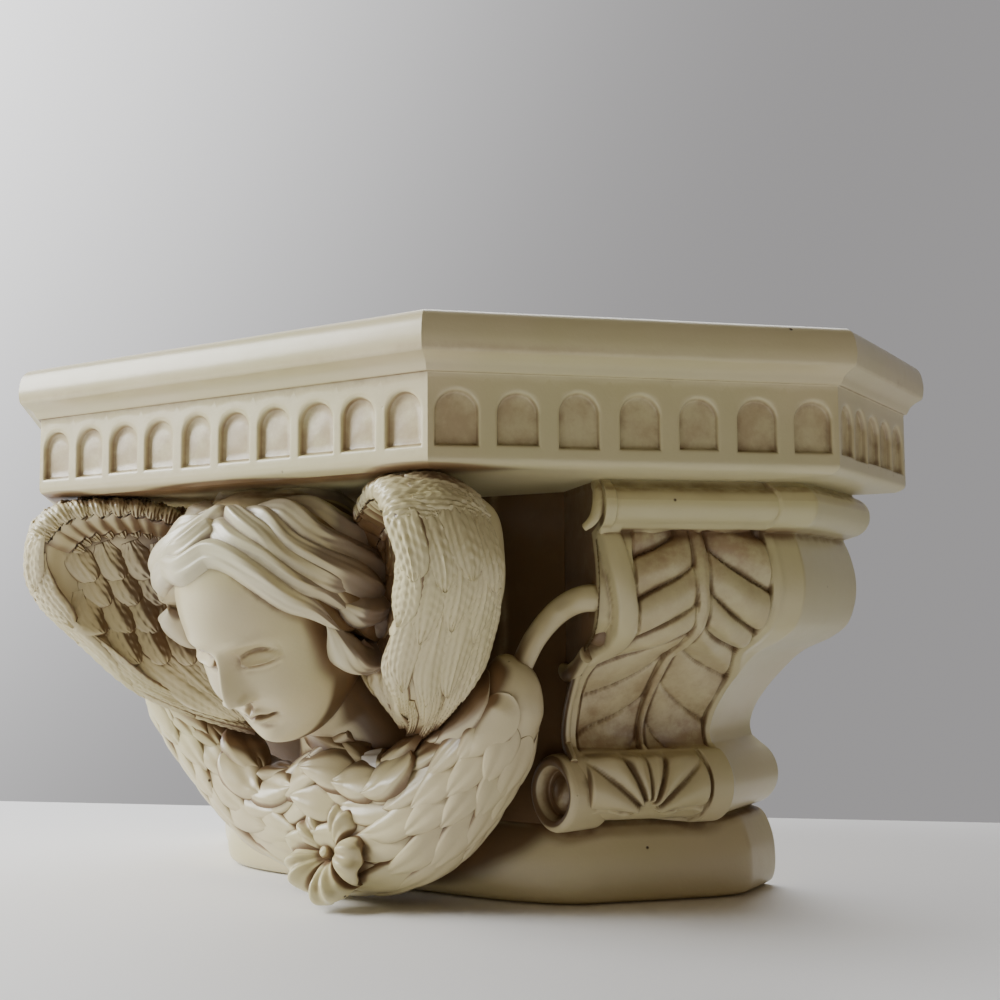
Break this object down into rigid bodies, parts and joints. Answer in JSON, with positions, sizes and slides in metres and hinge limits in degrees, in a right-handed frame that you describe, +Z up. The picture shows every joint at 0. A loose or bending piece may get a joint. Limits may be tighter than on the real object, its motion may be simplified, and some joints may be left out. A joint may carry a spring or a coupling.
{
  "type": "wall_corbel_shelf",
  "caption": "Ivory painted cast corbel shelf with a half octagonal top, scrolled consoles and a winged angel head over a laurel swag.",
  "frame": {"origin": "on the flat back at mid height and mid width, where the corbel meets the wall", "axes": "+X to the right along the wall, +Y into the wall, +Z up"},
  "size_m": [0.3834, 0.1813, 0.196],
  "materials": {
    "painted_casting": "satin"
  },
  "bodies": {
    "root": {"angel_corbel": "painted_casting"}
  },
  "joints": []
}
